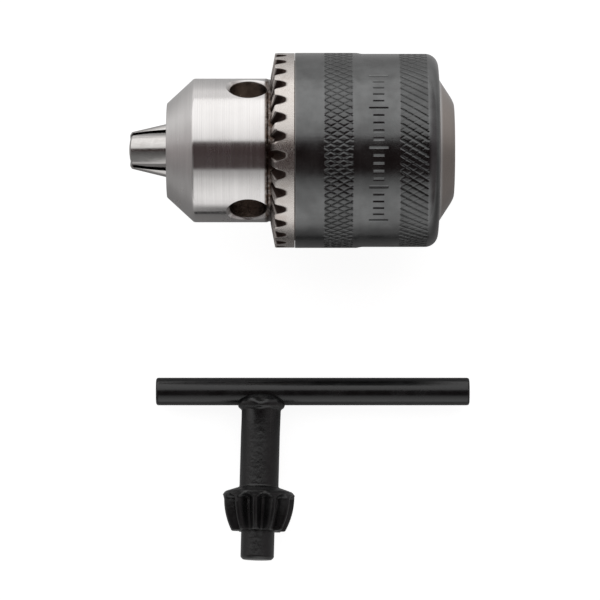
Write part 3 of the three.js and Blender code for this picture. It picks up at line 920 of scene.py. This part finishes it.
def gear_steel(graph):
    """Sand-grey steel, painted dark brown-black in the tooth gaps as dirt and painted shade, and darker brown
    towards the bore.
    """
    _, radius, rings, spot = chuck_coordinates(graph)
    grain = graph.noise(spot, 5.0, 4.0, 0.75)
    cloud = graph.noise(spot, 0.35, 3.0, 0.6)
    grime_and_shade = graph.add("Attribute", attribute_name="grime_and_shade").outputs["Fac"]
    greys = [(0.28, (0.50, 0.455, 0.425)), (0.5, (0.61, 0.57, 0.54)), (0.72, (0.72, 0.68, 0.65))]
    colour = graph.ramp(grain, greys)
    colour = graph.mix(graph.remap(cloud, 0.45, 0.72, 0.0, 0.55), colour, (0.45, 0.38, 0.34, 1))
    inner = graph.remap(radius, 13.5, 16.2, 0.95, 0.0)
    inner = graph.product(inner, graph.remap(graph.noise(spot, 1.2, 3.0), 0.35, 0.6, 0.7, 1.0))
    colour = graph.mix(inner, colour, (0.08, 0.055, 0.042, 1))
    # The tooth gaps are painted near black with little shine: brown dirt, and painted shade that covers the
    # lit flanks.
    stain_and_shade = graph.product(graph.remap(grime_and_shade, 0.03, 0.35, 0.0, 1.0), graph.remap(grain, 0.2, 0.6, 0.94, 1.0))
    colour = graph.mix(stain_and_shade, colour, (0.024, 0.014, 0.011, 1))
    clean = graph.remap(grain, 0.25, 0.75, 0.22, 0.34)
    return {
        "Base Color": colour,
        "Metallic": graph.remap(stain_and_shade, 0.0, 1.0, 1.0, 0.05),
        "Roughness": graph.math("ADD", clean, graph.product(stain_and_shade, 0.5)),
        "Specular IOR Level": 0.05,
        "Normal": graph.bumps([(grain, 0.5, 0.02), (graph.noise(rings, 6.0, 2.0), 0.12, 0.01)]),
    }


def blackened_shell(graph):
    """Dark satin steel, with painted shade on the knurled bands and in their grooves, and rubbed bright at
    its front edge.
    """
    s, _, rings, spot = chuck_coordinates(graph)
    grain = graph.noise(spot, 7.0, 3.0, 0.7)
    cloud = graph.noise(spot, 0.22, 4.0, 0.6)
    fine = graph.noise(rings, 5.0, 3.0, 0.7)
    groove = graph.add("Attribute", attribute_name="groove").outputs["Fac"]
    colour = graph.ramp(cloud, [(0.3, (0.115, 0.116, 0.116)), (0.7, (0.160, 0.162, 0.162))])
    colour = graph.mix(graph.remap(grain, 0.55, 0.8, 0.0, 0.35), colour, (0.19, 0.192, 0.19, 1))
    # Painted shade: the knurled bands are painted darker for the shade of their grooves.
    for start, end in KNURL_BANDS:
        band = graph.product(graph.remap(s, start, start + 0.2, 0, 0.3), graph.remap(s, end - 0.2, end, 1, 0))
        colour = graph.mix(band, colour, (0.02, 0.02, 0.02, 1))
    # Painted shade: the grooves themselves are painted darker still.
    colour = graph.mix(graph.remap(groove, 0.05, 0.8, 0.0, 0.5), colour, (0.020, 0.020, 0.020, 1))
    edge = graph.remap(s, SHELL_FRONT_S + 0.1, SHELL_FRONT_S + 0.3, 0.6, 0.0)
    colour = graph.mix(edge, colour, (0.3, 0.29, 0.28, 1))
    return {
        "Base Color": colour,
        "Metallic": 1.0,
        "Roughness": graph.remap(cloud, 0.3, 0.7, 0.19, 0.26),
        "Normal": graph.bumps([(grain, 0.45, 0.016), (fine, 0.3, 0.01)]),
    }


def nut_steel(graph):
    """Dull oiled steel for the nut and the thrust ring, which don't show."""
    _, _, rings, spot = chuck_coordinates(graph)
    grain = graph.noise(spot, 3.0, 4.0, 0.7)
    oil = graph.noise(spot, 0.5, 2.0)
    colour = graph.ramp(grain, [(0.3, (0.13, 0.12, 0.11)), (0.7, (0.24, 0.225, 0.21))])
    return {
        "Base Color": colour,
        "Metallic": 1.0,
        "Roughness": graph.remap(oil, 0.35, 0.65, 0.3, 0.5),
        "Normal": graph.bumps([(grain, 0.4, 0.03), (graph.noise(rings, 4.0, 2.0), 0.2, 0.02)]),
    }


def black_key(graph):
    """Black oxide: smooth on the drawn bar, and rougher and peened on the forged shank."""
    scaled, _, y, _ = millimetres(graph)
    scale_grain = graph.noise(scaled, 2.2, 4.0, 0.65)
    pits = graph.noise(scaled, 9.0, 3.0, 0.7)
    cloud = graph.noise(scaled, 0.25, 3.0)
    colour = graph.ramp(cloud, [(0.3, (0.0045, 0.0045, 0.0048)), (0.7, (0.010, 0.010, 0.0105))])
    # Convex edges are painted lighter: edge wear together with a painted highlight.
    wear_and_highlight = graph.remap(graph.add("NewGeometry").outputs["Pointiness"], 0.53, 0.60, 0.0, 0.3)
    colour = graph.mix(wear_and_highlight, colour, (0.045, 0.044, 0.042, 1))
    forged = graph.remap(y, BAR_Y - 6.0, BAR_Y - 3.5, 1.0, 0.0)  # the shank, below the bar
    drawn_finish = graph.remap(cloud, 0.3, 0.7, 0.19, 0.28)
    peened = graph.product(graph.noise(scaled, 1.1, 2.0), forged)
    return {
        "Base Color": colour,
        "Metallic": 0.0,
        "Roughness": graph.math("ADD", drawn_finish, graph.product(forged, 0.08)),
        "IOR": 1.55,
        "Normal": graph.bumps([(scale_grain, 0.25, 0.05), (pits, 0.25, 0.015), (peened, 0.5, 0.12)]),
    }


FINISHES = {
    function.__name__: shader(function.__name__, function)
    for function in (turned_steel, jaw_steel, gear_steel, blackened_shell, nut_steel, black_key)
}


def finish_piece(piece, slot, body, node=None):
    """Gives a piece its finish, and for a new piece its body, and hides the CAD node that it stands for."""
    piece.data.materials.clear()
    piece.data.materials.append(FINISHES[slot])
    if node:
        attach(piece, body)
        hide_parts(node)


def make_pieces():
    """Builds and finishes every piece; the nut and the thrust ring keep their CAD shapes."""
    finish_piece(chuck_body(), "turned_steel", "chuck_body", "chuck_body")
    finish_piece(gear_sleeve(), "gear_steel", "sleeve", "gear_sleeve")
    finish_piece(grip_shell(), "blackened_shell", "sleeve", "grip_shell")
    for number, degrees in enumerate(JAW_ANGLES, 1):
        finish_piece(jaw(number, degrees), "jaw_steel", f"jaw_{number}", f"jaw_{number}")
    finish_piece(key_shank(), "black_key", "key", "key_shank")
    finish_piece(key_bar(), "black_key", "key", "key_bar")
    for node in ("nut_half_upper", "nut_half_lower", "thrust_ring"):
        finish_piece(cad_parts[node], "nut_steel", None)


# ---- Light, floor and camera. ----

# The softboxes: (degrees from straight up towards +Y, brightness or colour).
SKY_GAP = (0.046, 0.031, 0.031)
SKY = [
    (-90, 1.05),
    (-75, 1.05),
    (-64, 0.98),
    (-50, 0.76),
    (-43, 0.57),
    (-34, 0.46),
    (-31, SKY_GAP),
    (11.5, SKY_GAP),
    (13.5, 0.84),
    (20, 1.02),
    (34, 1.15),
    (47, 1.24),
    (75, 1.32),
    (90, 1.34),
]
SKY_MOST = 1.5  # more than any brightness above, because a ramp holds no more than 1
# Painted light on the table, seen only in reflections, with a painted shadow where it is dim near the chuck:
# (mm along Y, how much it glows).
TABLE_HALF = 250.0
TABLE = [
    (-TABLE_HALF, 0.75),
    (-165, 0.68),
    (-80, 0.30),
    (-11, 0.03),
    (20, 0.06),
    (65, 0.36),
    (84, 0.48),
    (115, 0.7),
    (TABLE_HALF, 0.68),
]


def dimmed(value, most):
    """A brightness or colour as a fraction of the most that a ramp holds."""
    return tuple(v / most for v in value) if isinstance(value, tuple) else value / most


def light_world():
    """Two long softboxes beside the chuck with a dark gap above it, and a dimmer wall at each end."""
    world = bpy.data.worlds.new("softboxes")
    world.use_nodes = True
    bpy.context.scene.world = world
    graph = Graph(world.node_tree)
    direction = graph.add("SeparateXYZ", {0: graph.add("TexCoord").outputs["Generated"]}).outputs
    angle = graph.math("ARCTAN2", direction[1], direction[2])
    whole_turn = {"Value": angle, "From Min": -math.pi, "From Max": math.pi}
    place_on_ramp = graph.add("MapRange", whole_turn).outputs[0]
    stops = [((degrees + 180) / 360, dimmed(value, SKY_MOST)) for degrees, value in SKY]
    sky = graph.mix(1.0, graph.ramp(place_on_ramp, stops, smooth=False), grey(SKY_MOST), "MULTIPLY")
    near_nose = graph.remap(direction[0], -0.5, -0.1, 1.0, 0.0)
    near_side = graph.remap(direction[1], -0.3, 0.0, 1.0, 0.0)
    sky = graph.mix(graph.product(near_nose, near_side, 0.9), sky, grey(0.15))
    across = graph.remap(direction[1], -0.6, 0.6, 0.0, 1.0)
    nose_greys = [(0.0, (0.23, 0.21, 0.21)), (0.5, (0.44, 0.41, 0.41)), (1.0, (0.6, 0.58, 0.58))]
    tail_greys = [(0.0, (0.29, 0.262, 0.265)), (0.5, (0.215, 0.188, 0.197)), (1.0, (0.55, 0.53, 0.535))]
    nose_wall = graph.ramp(across, nose_greys, smooth=False)
    tail_wall = graph.ramp(across, tail_greys, smooth=False)
    wall = graph.mix(graph.remap(direction[0], -0.1, 0.1, 0.0, 1.0), nose_wall, tail_wall)
    nose_end = graph.remap(direction[0], -0.97, -0.7, 1.0, 0.0)
    tail_end = graph.remap(direction[0], 0.3, 0.75, 0.0, 1.0)
    light = graph.mix(graph.math("ADD", nose_end, tail_end), sky, wall)
    lit = graph.add("Background", {"Color": light, "Strength": 1.0})
    plain = graph.add("Background", {"Color": grey(1.0), "Strength": 1.0})
    seen = graph.add("LightPath").outputs["Is Camera Ray"]
    both = graph.add("MixShader", {0: seen, 1: lit.outputs[0], 2: plain.outputs[0]})
    graph.add("OutputWorld", {"Surface": both.outputs[0]})


def white_table():
    """A material that looks plain white to the camera, and to everything else glows as TABLE says: painted
    light, with a painted shadow near the chuck.
    """
    material = bpy.data.materials.new("white_table")
    material.use_nodes = True
    graph = Graph(material.node_tree)
    _, x, y, _ = millimetres(graph)
    across = graph.add("MapRange", {"Value": y, "From Min": -TABLE_HALF, "From Max": TABLE_HALF}).outputs[0]
    stops = [((y_mm + TABLE_HALF) / (2 * TABLE_HALF), glow) for y_mm, glow in TABLE]
    paper = graph.add("BsdfDiffuse", {"Color": grey(0.36)})
    # The painted light also fades towards the table's ends along X.
    fade = graph.math(
        "ADD",
        graph.remap(graph.math("ABSOLUTE", x), 90.0, 380.0, 1.0, 0.3),
        graph.remap(x, 90.0, 380.0, 0.0, 0.12),
    )
    glow = graph.add("Emission", {"Color": graph.ramp(across, stops, smooth=False), "Strength": fade})
    lit = graph.add("AddShader", {0: paper.outputs[0], 1: glow.outputs[0]})
    white = graph.add("Emission", {"Color": grey(1.0), "Strength": 0.9})
    overexposed = graph.add("AddShader", {0: paper.outputs[0], 1: white.outputs[0]})
    seen = graph.add("LightPath").outputs["Is Camera Ray"]
    both = graph.add("MixShader", {0: seen, 1: lit.outputs[0], 2: overexposed.outputs[0]})
    graph.add("OutputMaterial", {"Surface": both.outputs[0]})
    return material


def white_floor():
    """The table's top: a flat square under everything."""
    half = 3.0  # metres
    corners = [(-half, -half, 0), (half, -half, 0), (half, half, 0), (-half, half, 0)]
    floor = new_piece("floor", corners, [(0, 1, 2, 3)])
    floor.data.materials.append(white_table())


def overhead_camera():
    """A long lens that looks straight down, as the photo's does."""
    data = bpy.data.cameras.new("overhead")
    data.sensor_width = SENSOR_WIDTH
    data.lens = LENS
    data.clip_end = 10
    camera = bpy.data.objects.new("overhead", data)
    camera.location = Vector(CAMERA_PLACE) * MM
    camera.rotation_euler = Euler((0, 0, 0))
    bpy.context.scene.collection.objects.link(camera)
    bpy.context.scene.camera = camera


overhead_camera()
light_world()
white_floor()
make_pieces()
bpy.context.scene.view_settings.view_transform = "Standard"
